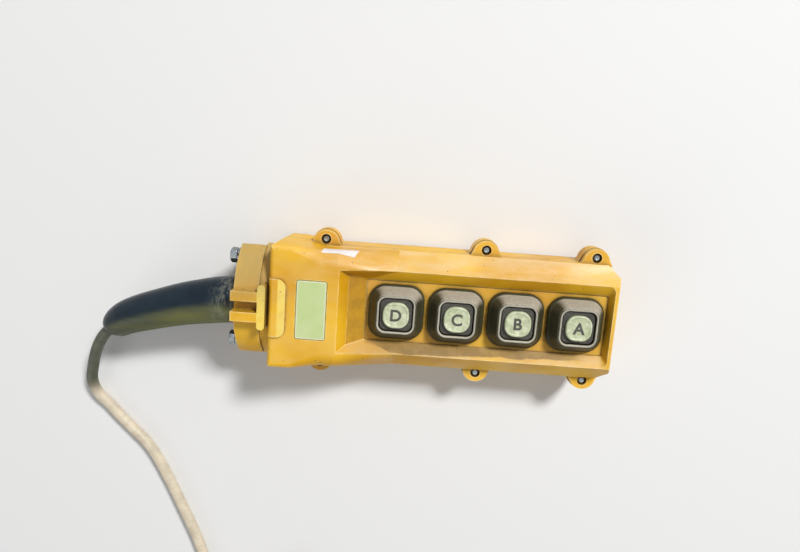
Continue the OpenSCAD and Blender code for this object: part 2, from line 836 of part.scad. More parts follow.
module plug_ring() {
    color([0.30, 0.30, 0.31]) at_plug() translate([0, 0, nut_l + plug_l - ring_lap]) difference() {
        cylinder(d = ring_d, h = ring_l);
        translate([0, 0, -eps]) cylinder(d = plug_d, h = ring_lap + eps);
        translate([0, 0, ring_lap - eps]) cylinder(d = ring_d - 2 * ring_wall, h = ring_l);
    }
}

module plug_insert() {
    color([0.80, 0.66, 0.30]) at_plug() translate([0, 0, nut_l + plug_l]) {
        cylinder(d = plug_d - 2 * insert_in, h = insert_t);
        for (k = [0:pins - 1]) rotate(360 * k / pins) translate([pin_circle_r, 0, 0])
            cylinder(d = pin_d, h = pin_l);
    }
}

rear_housing();
gasket();
front_cover();
label_plate();
boot(0);  // boot_a
boot(1);  // boot_b
boot(2);  // boot_c
boot(3);  // boot_d
button(0);  // button_a
button(1);  // button_b
button(2);  // button_c
button(3);  // button_d
disc(0);  // disc_a
disc(1);  // disc_b
disc(2);  // disc_c
disc(3);  // disc_d
cover_screw(0, 1);  // cover_screw_1
cover_screw(1, 1);  // cover_screw_2
cover_screw(2, 1);  // cover_screw_3
cover_screw(0, -1);  // cover_screw_4
cover_screw(1, -1);  // cover_screw_5
cover_screw(2, -1);  // cover_screw_6
collar();
collar_bolt(1);  // collar_bolt_1
collar_bolt(-1);  // collar_bolt_2
cable_sleeve();
cable();
cable_coil();
cable_tail();
coil_tie();
plug_body();
plug_ring();
plug_insert();
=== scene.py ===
"""Looks of a pendant control station: finish, boots, legends, cable, connector, floor and light."""

import math

import bmesh
import bpy
from mathutils import Matrix, Quaternion, Vector
from mathutils.bvhtree import BVHTree


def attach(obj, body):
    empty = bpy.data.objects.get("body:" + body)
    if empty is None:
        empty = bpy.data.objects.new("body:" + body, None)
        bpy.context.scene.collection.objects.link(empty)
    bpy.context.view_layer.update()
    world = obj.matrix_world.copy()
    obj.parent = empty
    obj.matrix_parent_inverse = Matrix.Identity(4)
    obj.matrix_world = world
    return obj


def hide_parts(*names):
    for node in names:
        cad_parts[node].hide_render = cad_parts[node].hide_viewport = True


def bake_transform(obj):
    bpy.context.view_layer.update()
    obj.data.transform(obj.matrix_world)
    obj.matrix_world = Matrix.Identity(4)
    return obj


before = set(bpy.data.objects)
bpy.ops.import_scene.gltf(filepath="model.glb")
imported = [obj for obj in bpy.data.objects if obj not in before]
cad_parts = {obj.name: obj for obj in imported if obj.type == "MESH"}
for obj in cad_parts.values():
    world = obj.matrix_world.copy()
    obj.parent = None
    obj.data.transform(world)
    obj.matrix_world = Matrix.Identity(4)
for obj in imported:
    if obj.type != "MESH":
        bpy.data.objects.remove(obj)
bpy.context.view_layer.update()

MM = 0.001
BUTTONS = "abcd"
BUTTON_X = (89.2, 54.2, 19.2, -15.8)    # mm

# Camera, fitted to the photograph
CAMERA_AT = (-14.1, 80.9, 389.1)    # mm
CAMERA_LOOKS_AT = (-15.1, 18.9, 30.0)    # mm
CAMERA_ROLL = 4.09    # degrees
CAMERA_LENS = 27.0    # mm
SENSOR_WIDTH = 36.0    # mm

# Background and light
BACKDROP = (0.90, 0.90, 0.895)
FLOOR = (0.80, 0.80, 0.795)
FLOOR_HALF = 4.0    # m
FLOOR_Z = -0.0002    # m
FLOOR_FADE = (0.45, 1.5)    # m from the middle, where the floor fades into the background
AMBIENT = 0.25
LAMPS = (    # name, place in m, size in m, power in W
    ("key", (1.28, 1.70, 2.25), 0.50, 89.0),
    ("fill", (-1.5, -1.6, 1.3), 1.4, 10.0),
    ("top", (0.0, 0.0, 2.2), 1.2, 3.0),
)

# Sleeve and cable on their middle lines, in mm from the collar's end, as the part's source has them
COLLAR_END_X = -109.6
SLEEVE_Z = 36.0
CABLE_D = 7.0
SLEEVE_ROUTE = [
    (-0.8, -0.9, 0, 14.2), (-3, -0.9, 0, 14.2), (-6.9, -1.6, 0, 14.2), (-12.4, -2.3, 0, 14.1),
    (-19.4, -3.5, 0, 13.8), (-32.4, -6, 0, 13.1), (-45.4, -9.5, -0.5, 12.3),
    (-58.4, -13.5, -1.3, 11.6), (-68.4, -17.3, -2.5, 10.8), (-75, -21.2, -4.5, 9.9),
    (-78.6, -24.2, -5.8, 8.6), (-80.2, -26.3, -6.5, 6.6),
]
CABLE_ROUTE = [
    (-79.9, -26, 26), (-86.2, -30.3, 24.5), (-93, -39.5, 20.5), (-98.6, -50, 15),
    (-102.7, -60, 9.8), (-105.2, -68, 6.2), (-105.2, -75, 3.2), (-102.8, -81.8, 0.9),
    (-96.9, -88, 0), (-89.4, -96, 0),
    (-80.4, -105, 0), (-71.4, -114, 0), (-64.4, -124, 0), (-58.4, -135, 0), (-52.4, -147, 0),
    (-46.4, -160, 0), (-40.4, -173, 0), (-34.4, -187, 0), (-29.4, -203, 0),
    (-26.4, -220, 0), (-24.9, -238, 0), (-24.4, -256, 0),
]
TAIL_ROUTE = [
    (24.6, -305, 7), (34.6, -305, 7.2), (44.6, -305, 8.2),
    (52.6, -305, 9.2), (58.6, -305, 9.5), (64.6, -305, 9.5),
]
ROUTE_STEPS = 4    # stretches of the smooth curve between two points of a route
TURN_STEPS = 32    # stretches in a turn of the coil
COIL_AT = (-85, -256)    # mm
COIL_TURNS = 3    # turns in each of the two layers
COIL_FIRST_R = 49.0    # mm, radius of the outermost turn
COIL_CLIMB = 0.25    # turns taken to climb to the second layer
COIL_EARLY = 0.15    # turns before the end of the first layer at which the climb starts
TIE_SPAN = (23.4, 53.6)    # mm from the coil's middle
TIE_Z = 7.6    # mm, middle of the strap's loop
TIE_THICKNESS = 1.1    # mm
PLUG_AT = (-45.0, -305.0, 13.0)    # mm

# Boots and discs: half width, corner radius and height of each ring, in mm
BOOT_RINGS = [
    (16.25, 9.5, 43.55), (16.25, 9.5, 45.7), (16.1, 9.4, 46.2), (15.75, 9.1, 46.5),
    (15.3, 8.8, 46.8), (14.6, 8.2, 48.1), (13.6, 7.3, 50.1), (12.7, 6.5, 52.0),
    (12.05, 5.95, 53.3), (11.8, 5.7, 53.9), (11.35, 5.4, 54.22), (10.85, 5.05, 54.46),
    (10.5, 4.8, 54.5), (10.15, 4.5, 54.42), (9.9, 4.2, 54.2), (9.75, 4.0, 53.8),
    (9.7, 3.9, 52.0), (9.7, 3.9, 45.0), (10.2, 4.2, 43.6),
]
BOOT_FOOT = (0, 4)    # rings between which the foot stays dark, a painted shade
BOOT_RIM = (11, 14)    # rings between which the rim is pale: rubbed, and a painted highlight
DISC_RINGS = [
    (7.3, 5.9, 53.0), (7.5, 6.1, 53.1), (7.5, 6.1, 54.6), (7.42, 6.02, 54.95),
    (7.2, 5.82, 55.22), (6.9, 5.55, 55.36), (6.6, 5.3, 55.38), (6.3, 5.02, 55.28),
    (6.1, 4.85, 55.08), (5.8, 4.6, 54.98), (3.0, 2.3, 55.0), (0.5, 0.35, 55.0),
]
DISC_FACE = 55.02    # mm
LETTER_SIZE = 9.3    # mm, the font's size
LETTER_THICKNESS = 0.05    # mm
LETTER_BOLDER = 0.27    # mm that its outline moves out

# Places on the housing, in mm
LABEL_AT = (-64.3, 0.0)
LABEL_HALF = (8.5, 17.0)
LABEL_RADIUS = 1.2
LABEL_RIM = ((0.28, 57.42), (0.36, 57.54), (0.82, 57.54), (0.90, 57.42))    # inset and height
STICKER_CORNERS = (
    (-60.5, 33.0, 52.8), (-41.0, 33.0, 52.6), (-39.4, 35.0, 45.4), (-59.4, 35.0, 45.8))
STICKER_LIFT = 0.09
STICKER_THICKNESS = 0.14
EAR_X = (-60.8, 35.7, 102.2)
ROW_Y = 38.4
BOLT_Y = 25.5
BOLT_Z = 35.0

# Marks on the yellow plastic, painted highlights and shadows among them. Places are in m, each as
# where a mark starts and where it is full.
PAD_HIGHLIGHT_Z = (0.0578, 0.0583)    # the pad and the bar, which get a painted highlight, are higher than this
PAD_HIGHLIGHT_LINE_X = -0.0865    # a line between them
PAD_HIGHLIGHT_NEAR, PAD_HIGHLIGHT_FAR = (0.0028, 0.0036), (0.0082, 0.0079)    # distances from that line between which the highlight is painted
# Grey film on the collar's +Y half: painted shadow with smears
SHADOW_FILM_Y = (-0.008, 0.016)
# the side that gets dust and a painted light
DUST_AND_LIGHT_SIDE = (0.0, 0.62, 0.78)
WALL_SIDE = (0.0, 0.59, 0.81)    # the lower guard wall's inner slope, where a shadow is painted
WALL_SHADOW_Y = (-0.016, -0.0175)
WALL_SHADOW_Z = (0.0500, 0.0494)
WALL_SHADOW_LEFT, WALL_SHADOW_RIGHT = (-0.034, -0.032), (0.100, 0.084)
SLOPE_SIDE = (0.415, 0.0, 0.91)    # the slope at the tray's end, where a shadow is painted
SLOPE_SHADOW_LEFT, SLOPE_SHADOW_RIGHT = (-0.0430, -0.0415), (-0.0325, -0.0345)


def between(path, i, t):
    """A point on the smooth curve between path points i and i + 1."""
    a = Vector(path[max(i - 1, 0)])
    b = Vector(path[i])
    c = Vector(path[i + 1])
    d = Vector(path[min(i + 2, len(path) - 1)])
    return 0.5 * (2 * b + (c - a) * t + (2 * a - 5 * b + 4 * c - d) * t * t
                  + (3 * b - a - 3 * c + d) * t * t * t)


def smooth(path, steps):
    """The path with steps - 1 points added on each stretch."""
    points = [between(path, i, s / steps) for i in range(len(path) - 1) for s in range(steps)]
    return points + [Vector(path[-1])]


def ease(t):
    """Runs smoothly from 0 to 1."""
    t = min(max(t, 0.0), 1.0)
    return t * t * (3 - 2 * t)


def coil_point(turn):
    """Middle line of the coil after a number of turns: inwards below, then outwards above."""
    inner = COIL_FIRST_R - COIL_TURNS * CABLE_D
    if turn < COIL_TURNS:
        radius = COIL_FIRST_R - turn * CABLE_D
    else:
        radius = inner + max(turn - COIL_TURNS - COIL_CLIMB, 0) * CABLE_D
    climb = ease((turn - COIL_TURNS + COIL_EARLY) / (COIL_CLIMB + COIL_EARLY))
    angle = math.pi + 2 * math.pi * turn
    return Vector((
        COIL_AT[0] + radius * math.cos(angle),
        COIL_AT[1] + radius * math.sin(angle),
        CABLE_D / 2 + climb * CABLE_D,
    ))


def cable_line():
    """All points of the cable's middle line, in mm."""
    turns = 2 * COIL_TURNS + COIL_CLIMB
    coil = [coil_point(i / TURN_STEPS) for i in range(1, int(turns * TURN_STEPS))]
    shift = Vector((COLLAR_END_X, 0, CABLE_D / 2))
    free = [p + shift for p in smooth(CABLE_ROUTE, ROUTE_STEPS)]
    tail = [p + shift for p in smooth(TAIL_ROUTE, ROUTE_STEPS)]
    return free + coil + tail


def make_camera():
    data = bpy.data.cameras.new("camera")
    data.lens = CAMERA_LENS
    data.sensor_width = SENSOR_WIDTH
    data.clip_start = 0.01
    data.clip_end = 20.0
    camera = bpy.data.objects.new("camera", data)
    bpy.context.scene.collection.objects.link(camera)
    at = Vector(CAMERA_AT) * MM
    towards = Vector(CAMERA_LOOKS_AT) * MM - at
    # Up in the picture is +Y, turned by the roll
    forward = towards.normalized()
    up = Vector((0, 1, 0))
    up = (up - forward * up.dot(forward)).normalized()
    up = Quaternion(forward, -math.radians(CAMERA_ROLL)) @ up
    right = forward.cross(up)
    turn = Matrix((right, up, -forward)).transposed()
    camera.matrix_world = Matrix.Translation(at) @ turn.to_4x4()
    bpy.context.scene.camera = camera


class Shader:
    """A material's node tree, with short ways to add nodes and join them."""

    def __init__(self, name):
        self.material = bpy.data.materials.new(name)
        self.material.use_nodes = True
        self.tree = self.material.node_tree
        self.tree.nodes.clear()
        self.surface = self.tree.nodes.new("ShaderNodeBsdfPrincipled")
        self.out = self.tree.nodes.new("ShaderNodeOutputMaterial")
        self.tree.links.new(self.surface.outputs["BSDF"], self.out.inputs["Surface"])
        self.place = self.tree.nodes.new("ShaderNodeTexCoord").outputs["Object"]

    def put(self, socket, value):
        """Joins an output to the socket, or sets its number or colour."""
        if isinstance(value, bpy.types.NodeSocket):
            self.tree.links.new(value, socket)
        elif isinstance(value, (tuple, list)) and len(value) == 3 and socket.type == "RGBA":
            socket.default_value = (*value, 1.0)
        else:
            socket.default_value = value

    def add(self, kind, settings=None, **inputs):
        node = self.tree.nodes.new("ShaderNode" + kind)
        for key, value in (settings or {}).items():
            setattr(node, key, value)
        for key, value in inputs.items():
            self.put(node.inputs[key.replace("_", " ")], value)
        return node

    def noise(self, scale, detail, rough=0.5, stretch=None):
        """Noise from 0 to 1; scale is in cells a metre."""
        place = self.place
        if stretch:
            place = self.add("Mapping", Vector=place, Scale=stretch).outputs["Vector"]
        node = self.add("TexNoise", Vector=place, Scale=scale, Detail=detail, Roughness=rough)
        return node.outputs["Fac"]

    def ramp(self, value, low, high, to_low=0.0, to_high=1.0):
        """Runs smoothly from to_low to to_high while the value goes from low to high."""
        node = self.add("MapRange", {"interpolation_type": "SMOOTHSTEP"}, Value=value)
        limits = {"From Min": low, "From Max": high, "To Min": to_low, "To Max": to_high}
        for key, number in limits.items():
            node.inputs[key].default_value = number
        return node.outputs["Result"]

    def patches(self, scale, detail, low, high, to_low=0.0, to_high=1.0, rough=0.5, stretch=None):
        """Noise whose values from low to high are spread out from to_low to to_high."""
        return self.ramp(self.noise(scale, detail, rough, stretch), low, high, to_low, to_high)

    def mix(self, share, a, b):
        node = self.add("Mix", {"data_type": "RGBA"})
        self.put(node.inputs["Factor"], share)
        self.put(node.inputs[6], a)
        self.put(node.inputs[7], b)
        return node.outputs[2]

    def math(self, operation, a, b):
        node = self.add("Math", {"operation": operation})
        self.put(node.inputs[0], a)
        self.put(node.inputs[1], b)
        return node.outputs[0]

    def times(self, first, *others):
        for other in others:
            first = self.math("MULTIPLY", first, other)
        return first

    def plus(self, first, *others):
        for other in others:
            first = self.math("ADD", first, other)
        return first

    def axes(self):
        """The object's X, Y and Z, in m."""
        return self.add("SeparateXYZ", Vector=self.place).outputs

    def crevice(self, distance):
        """1 in tight corners, 0 in the open."""
        node = self.add("AmbientOcclusion", {"samples": 6}, Distance=distance)
        return self.ramp(node.outputs["AO"], 0.85, 0.35)

    def facing_up(self, low, high):
        """1 where the surface faces up."""
        normal = self.add("NewGeometry").outputs["Normal"]
        z = self.add("SeparateXYZ", Vector=normal).outputs["Z"]
        return self.ramp(z, low, high)

    def facing(self, direction, low, high):
        """1 where the surface faces a direction."""
        node = self.add("VectorMath", {"operation": "DOT_PRODUCT"})
        self.put(node.inputs[0], self.add("NewGeometry").outputs["Normal"])
        node.inputs[1].default_value = direction
        return self.ramp(node.outputs["Value"], low, high)

    def zone(self, direction, limits):
        """1 on what faces a direction, where each value has passed both its limits."""
        shares = [self.ramp(value, low, high) for value, (low, high) in limits]
        return self.times(self.facing(direction, 0.95, 0.99), *shares)

    def edge(self, radius, strength):
        """Above 0 along the outer edges, where hands and tools rub; the housing also paints
        highlights there.
        """
        rounded = self.add("Bevel", {"samples": 5}, Radius=radius).outputs["Normal"]
        normal = self.add("NewGeometry").outputs["Normal"]
        node = self.add("VectorMath", {"operation": "DOT_PRODUCT"})
        self.put(node.inputs[0], rounded)
        self.put(node.inputs[1], normal)
        turn = self.ramp(node.outputs["Value"], 0.996, 0.94, 0.0, strength)
        return self.times(turn, self.patches(180, 4, 0.3, 0.6))

    def specks(self, scale, size, share):
        """Small dots, in a share of the cells; scale is in cells a metre."""
        cells = self.add("TexVoronoi", Vector=self.place, Scale=scale)
        dot = self.ramp(cells.outputs["Distance"], size, size * 0.6)
        chosen = self.add("SeparateColor", Color=cells.outputs["Color"]).outputs["Red"]
        return self.times(dot, self.ramp(chosen, share, share * 0.8, 0.0, 0.75))

    def bump(self, height, distance):
        """Unevenness too fine for the mesh; distance is in m."""
        node = self.add("Bump", Height=height, Distance=distance, Strength=1.0)
        self.put(self.surface.inputs["Normal"], node.outputs["Normal"])

    def set(self, **inputs):
        """Sets or joins inputs of the surface."""
        for key, value in inputs.items():
            self.put(self.surface.inputs[key.replace("_", " ")], value)


def housing_finish(name, lit_side_dust, film):
    """Moulded yellow plastic, with painted highlights and shadows. blown is the share of dust and a
    painted light on the side towards +Y, film the share of grey film, a painted shadow with
    smears, on the half towards +Y."""
    yellow, light_yellow = (0.66, 0.325, 0.005), (0.83, 0.475, 0.014)
    # rubbed is the colour of a painted highlight on the pad and the bar
    faded_yellow, worn_and_highlight, rubbed = (0.86, 0.58, 0.13), (0.95, 0.74, 0.33), (0.90, 0.68, 0.13)
    # grey film is a painted shadow with smears
    dust, grey_shadow_film = (0.76, 0.56, 0.32), (0.36, 0.29, 0.13)
    # the wall and slope colours paint the shadow in the tray
    wall_shadow, slope_shadow = (0.26, 0.165, 0.055), (0.34, 0.175, 0.016)
    # the deep yellow paints shade in the hollows; the black one is dirt with painted shade in
    # corners
    shade_yellow, dark_dirt_and_shade, speck = (0.36, 0.19, 0.012), (0.10, 0.055, 0.012), (0.10, 0.06, 0.025)
    s = Shader(name)
    x, y, z = s.axes()

    # Patchy plastic with worn edges that also carry a painted highlight
    color = s.mix(s.patches(20, 3, 0.35, 0.65), yellow, light_yellow)
    color = s.mix(s.times(s.patches(34, 4, 0.45, 0.72, rough=0.55), 0.30), color, faded_yellow)
    color = s.mix(s.edge(0.0013, 0.8), color, worn_and_highlight)

    # The bar and the pad's right part get a painted highlight; the pad's left strip stays darker
    off = s.math("ABSOLUTE", s.plus(x, -PAD_HIGHLIGHT_LINE_X), 0.0)
    share = s.times(
        s.ramp(z, *PAD_HIGHLIGHT_Z), s.patches(160, 4, 0.25, 0.55, 0.6, 0.95),
        s.ramp(off, *PAD_HIGHLIGHT_NEAR), s.ramp(off, *PAD_HIGHLIGHT_FAR))
    color = s.mix(share, color, rubbed)

    # Dust and a painted light on the side towards +Y; grey film, a painted shadow with smears, on
    # the half towards +Y
    streaks = s.patches(
        26, 7, 0.30, 0.68, 0.15 * lit_side_dust, 0.8 * lit_side_dust, rough=0.7, stretch=(1.0, 4.0, 1.0))
    color = s.mix(s.times(s.facing(DUST_AND_LIGHT_SIDE, 0.66, 1.05), streaks), color, dust)
    smears = s.patches(60, 6, 0.3, 0.7, 0.45 * film, film, rough=0.65, stretch=(1.0, 0.3, 1.0))
    color = s.mix(s.times(smears, s.ramp(y, *SHADOW_FILM_Y)), color, grey_shadow_film)

    # Painted shadow in the tray, with wavy borders, lower on the wall towards +X
    wavy = s.times(s.noise(75, 4), 0.0024)
    height = s.plus(z, s.plus(s.times(x, 0.02), wavy))
    wall = s.zone(WALL_SIDE, (
        (y, WALL_SHADOW_Y), (x, WALL_SHADOW_LEFT), (x, WALL_SHADOW_RIGHT), (height, WALL_SHADOW_Z)))
    slope = s.zone(SLOPE_SIDE, (
        (s.plus(x, s.times(wavy, 2.0)), SLOPE_SHADOW_LEFT), (x, SLOPE_SHADOW_RIGHT)))
    patchy = s.noise(130, 5, 0.6)
    color = s.mix(s.times(wall, s.ramp(patchy, 0.3, 0.6, 0.75, 0.95)), color, wall_shadow)
    color = s.mix(s.times(slope, s.ramp(patchy, 0.3, 0.7, 0.45, 0.85)), color, slope_shadow)

    # Painted shade in the hollows, dark dirt and painted shade in the corners, and specks
    color = s.mix(s.times(s.crevice(0.020), 0.55), color, shade_yellow)
    # Dark dirt in tight corners, darkened further there as painted shade
    grime = s.times(s.crevice(0.004), s.patches(190, 5, 0.3, 0.7, 0.45, 1.0, rough=0.6))
    color = s.mix(grime, color, dark_dirt_and_shade)
    color = s.mix(s.specks(330, 0.17, 0.08), color, speck)

    s.set(Base_Color=color, IOR=1.5, Specular_IOR_Level=0.32,
          Roughness=s.ramp(s.plus(s.noise(45, 4), s.times(grime, 0.6)), 0.3, 0.9, 0.32, 0.72))
    s.bump(s.plus(s.times(s.noise(70, 2), 2.6), s.times(s.noise(1700, 2), 0.25)), 0.0001)
    return s.material


def rubber_finish(name, color, dust, amount, roughness, specks=0.0, lit_side=0.0):
    """Black rubber with fine dust on what faces up, and on the side towards +Y more dust with a
    painted light.
    """
    lit_direction, lit_dust_color = (0.22, 0.80, 0.56), (0.56, 0.50, 0.40)
    s = Shader(name)
    base = s.mix(s.patches(120, 3, 0.35, 0.7), color, tuple(c * 1.45 for c in color))
    grains = s.patches(1300, 5, 0.3, 0.75, 0.55, 1.0, rough=0.7)
    cover = s.patches(95, 3, 0.25, 0.7, 0.6, 1.0)
    dusting = s.times(grains, amount, s.facing_up(-0.1, 0.75), cover)
    shaded = s.mix(dusting, base, dust)
    # Pale dust and a painted light on the side facing +Y
    if lit_side:
        side = s.times(s.facing(lit_direction, 0.60, 0.93), s.facing_up(0.15, 0.40))
        lit_side_dust = s.times(grains, lit_side, side)
        shaded = s.mix(lit_side_dust, shaded, lit_dust_color)
        dusting = s.math("MAXIMUM", dusting, lit_side_dust)
    if specks:
        bright = tuple(min(c * 1.6, 0.6) for c in dust)
        shaded = s.mix(s.specks(1300, 0.3, specks), shaded, bright)
    s.set(Base_Color=shaded, IOR=1.5, Specular_IOR_Level=0.27,
          Roughness=s.ramp(dusting, 0.0, 0.6, roughness, roughness + 0.3))
    s.bump(s.noise(2600, 3), 0.00005)
    return s.material


def sleeve_finish():
    """Glossy black rubber, scuffed next to the collar, with an olive film along one side."""
    black, blue_black = (0.004, 0.012, 0.022), (0.009, 0.020, 0.032)
    olive, scuffed = (0.175, 0.18, 0.05), (0.26, 0.26, 0.20)
    film_side, scuffed_x = (0.0, -0.72, 0.69), (-0.130, -0.111)
    s = Shader("sleeve_rubber")
    base = s.mix(s.patches(70, 3, 0.35, 0.7), black, blue_black)
    streaks = s.patches(60, 6, 0.30, 0.75, 0.25, 0.85, rough=0.7, stretch=(0.25, 1.0, 1.0))
    film = s.times(streaks, s.facing(film_side, 0.55, 0.95))
    scratches = s.patches(240, 7, 0.44, 0.66, 0.0, 0.8, rough=0.8, stretch=(1.0, 0.3, 1.0))
    scuff = s.times(s.ramp(s.axes()["X"], *scuffed_x), scratches)
    color = s.mix(scuff, s.mix(film, base, olive), scuffed)
    s.set(Base_Color=color, IOR=1.45, Specular_IOR_Level=0.25,
          Roughness=s.ramp(s.math("MAXIMUM", film, scuff), 0.0, 0.6, 0.24, 0.5))
    s.bump(s.plus(s.noise(1500, 3), s.times(s.noise(110, 3), 2.0)), 0.00006)
    return s.material


def disc_finish():
    """Pale grey-green moulded disc, rubbed and soiled by fingers."""
    dull, pale, soil = (0.42, 0.47, 0.28), (0.68, 0.71, 0.50), (0.25, 0.27, 0.15)
    corner, speck = (0.20, 0.21, 0.15), (0.13, 0.13, 0.09)
    s = Shader("legend_disc")
    color = s.mix(s.patches(240, 5, 0.35, 0.7, rough=0.65), dull, pale)
    color = s.mix(s.times(s.patches(900, 5, 0.50, 0.70, rough=0.7), 0.5), color, soil)
    # Darker in the tight corners round the disc: painted shade
    color = s.mix(s.times(s.crevice(0.0012), 0.7), color, corner)
    color = s.mix(s.specks(1500, 0.2, 0.10), color, speck)
    s.set(Base_Color=color, IOR=1.5, Coat_Weight=0.2, Coat_Roughness=0.2,
          Roughness=s.patches(500, 4, 0.3, 0.7, 0.36, 0.55))
    s.bump(s.noise(700, 3), 0.00005)
    return s.material


def label_finish():
    """Printed film: pale green, slightly yellowed in patches, rubbed along its border."""
    green, yellowed = (0.50, 0.62, 0.26), (0.57, 0.66, 0.33)
    rubbed, smudge = (0.80, 0.80, 0.62), (0.36, 0.38, 0.20)
    s = Shader("label")
    color = s.mix(s.patches(60, 4, 0.35, 0.65), green, yellowed)
    color = s.mix(s.edge(0.0006, 0.6), color, rubbed)
    color = s.mix(s.patches(240, 6, 0.56, 0.8, 0.0, 0.35, rough=0.7), color, smudge)
    s.set(Base_Color=color, Specular_IOR_Level=0.3,
          Roughness=s.patches(150, 4, 0.3, 0.7, 0.42, 0.6))
    s.bump(s.noise(90, 2), 0.00008)
    return s.material


def plastic_finish(name, color, second, roughness):
    """Plain plastic or metal in two shades."""
    s = Shader(name)
    s.set(Base_Color=s.mix(s.patches(260, 5, 0.35, 0.7, rough=0.6), color, second),
          Roughness=s.patches(420, 4, 0.3, 0.7, roughness - 0.06, roughness + 0.12))
    s.bump(s.noise(2400, 3), 0.00004)
    return s.material


def zinc_finish():
    """Bright zinc plate with dull, yellowed spots."""
    bright, dull, yellowed = (0.32, 0.36, 0.39), (0.21, 0.22, 0.22), (0.20, 0.165, 0.08)
    s = Shader("zinc_plate")
    base = s.mix(s.patches(420, 4, 0.35, 0.7), bright, dull)
    spots = s.times(s.patches(700, 5, 0.5, 0.72, rough=0.7), 0.6)
    grime = s.math("MAXIMUM", spots, s.crevice(0.0012))
    s.set(Base_Color=s.mix(grime, base, yellowed), Metallic=0.92,
          Roughness=s.ramp(grime, 0.0, 0.8, 0.24, 0.6))
    s.bump(s.noise(1900, 3), 0.00005)
    return s.material


def cable_finish():
    """Dark next to the sleeve, a painted shadow; dusty pale grey further on."""
    pale, pale_brown, soil = (0.70, 0.61, 0.46), (0.50, 0.43, 0.32), (0.24, 0.22, 0.17)
    dark, dark_green = (0.045, 0.052, 0.028), (0.10, 0.105, 0.065)
    pale_y = (-0.060, -0.076)
    s = Shader("cable_sheath")
    light = s.mix(s.patches(110, 5, 0.3, 0.75, rough=0.6), pale, pale_brown)
    light = s.mix(s.patches(420, 6, 0.52, 0.75, 0.0, 0.5, rough=0.7), light, soil)
    # The dark stretch next to the sleeve is a painted shadow
    shaded = s.mix(s.patches(150, 5, 0.3, 0.75, rough=0.6), dark, dark_green)
    along = s.ramp(s.plus(s.axes()["Y"], s.times(s.noise(60, 3), 0.012)), *pale_y)
    s.set(Base_Color=s.mix(along, shaded, light), Roughness=s.patches(300, 4, 0.3, 0.7, 0.42, 0.62))
    s.bump(s.noise(1500, 4), 0.00008)
    return s.material


def dress(names, material):
    """Gives CAD nodes a material."""
    for name in names:
        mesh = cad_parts[name].data
        mesh.materials.clear()
        mesh.materials.append(material)


def soften(names, width, segments=2):
    """Gives CAD nodes rounded edges with modifiers; their own vertices stay as they are."""
    same_place = 1e-6    # m
    flat_turn, edge_turn = math.radians(0.6), math.radians(30)
    for name in names:
        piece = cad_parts[name]
        weld = piece.modifiers.new("weld", "WELD")
        weld.merge_threshold = same_place
        flat = piece.modifiers.new("flat", "DECIMATE")
        flat.decimate_type = "DISSOLVE"
        flat.angle_limit = flat_turn
        bevel = piece.modifiers.new("bevel", "BEVEL")
        bevel.limit_method = "ANGLE"
        bevel.angle_limit = edge_turn
        bevel.width = width * MM
        bevel.segments = segments
        bevel.use_clamp_overlap = True
        normals = piece.modifiers.new("normals", "WEIGHTED_NORMAL")
        normals.keep_sharp = False


def new_piece(name, mesh, body, material):
    """An object that rides a body."""
    piece = bpy.data.objects.new(name, mesh)
    bpy.context.scene.collection.objects.link(piece)
    mesh.materials.append(material)
    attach(piece, body)
    return piece


def make_cable(material):
    """The whole cable as one cord."""
    points = cable_line()
    curve = bpy.data.curves.new("cable_line", "CURVE")
    curve.dimensions = "3D"
    curve.bevel_depth = CABLE_D / 2 * MM
    curve.bevel_resolution = 5
    curve.use_fill_caps = True
    spline = curve.splines.new("POLY")
    spline.points.add(len(points) - 1)
    for knot, point in zip(spline.points, points):
        knot.co = (*(point * MM), 1.0)
    spline.use_smooth = True
    cable = new_piece("cable_cord", curve, "housing", material)
    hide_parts("cable", "cable_coil", "cable_tail")


def path_with_radii(path, steps):
    """The smooth path and, along it, the radii that its points carry as a fourth number."""
    points = smooth([p[:3] for p in path], steps)
    radii = []
    for i in range(len(path) - 1):
        radii += [path[i][3] + (path[i + 1][3] - path[i][3]) * s / steps for s in range(steps)]
    return points, radii + [path[-1][3]]


def skin(name, rings, loop=False, sharp=40):
    """A mesh over rings of points in mm. A loop joins its last ring to its first; otherwise a face
    closes the first ring and another one the last."""
    bm = bmesh.new()
    rows = [[bm.verts.new(point * MM) for point in ring] for ring in rings]
    sides = len(rings[0])
    pairs = list(zip(rows, rows[1:])) + ([(rows[-1], rows[0])] if loop else [])
    for a, b in pairs:
        for k in range(sides):
            bm.faces.new((a[k], a[(k + 1) % sides], b[(k + 1) % sides], b[k]))
    if not loop:
        bm.faces.new(rows[0])
        bm.faces.new(rows[-1])
    bmesh.ops.recalc_face_normals(bm, faces=bm.faces)
    for face in bm.faces:
        face.smooth = True
    mesh = bpy.data.meshes.new(name)
    bm.to_mesh(mesh)
    bm.free()
    mesh.set_sharp_from_angle(angle=math.radians(sharp))
    return mesh


def joined(name, meshes):
    """One mesh made of several."""
    bm = bmesh.new()
    for mesh in meshes:
        bm.from_mesh(mesh)
    whole = bpy.data.meshes.new(name)
    bm.to_mesh(whole)
    bm.free()
    for mesh in meshes:
        bpy.data.meshes.remove(mesh)
    return whole


def rect_ring(at, half_x, half_y, radius, z, corner=9):
    """Points round a rectangle with round corners."""
    points = []
    for quarter, (sx, sy) in enumerate(((1, 1), (-1, 1), (-1, -1), (1, -1))):
        for k in range(corner + 1):
            angle = math.radians(90 * (quarter + k / corner))
            points.append(Vector((
                at[0] + sx * (half_x - radius) + radius * math.cos(angle),
                at[1] + sy * (half_y - radius) + radius * math.sin(angle),
                z,
            )))
    return points


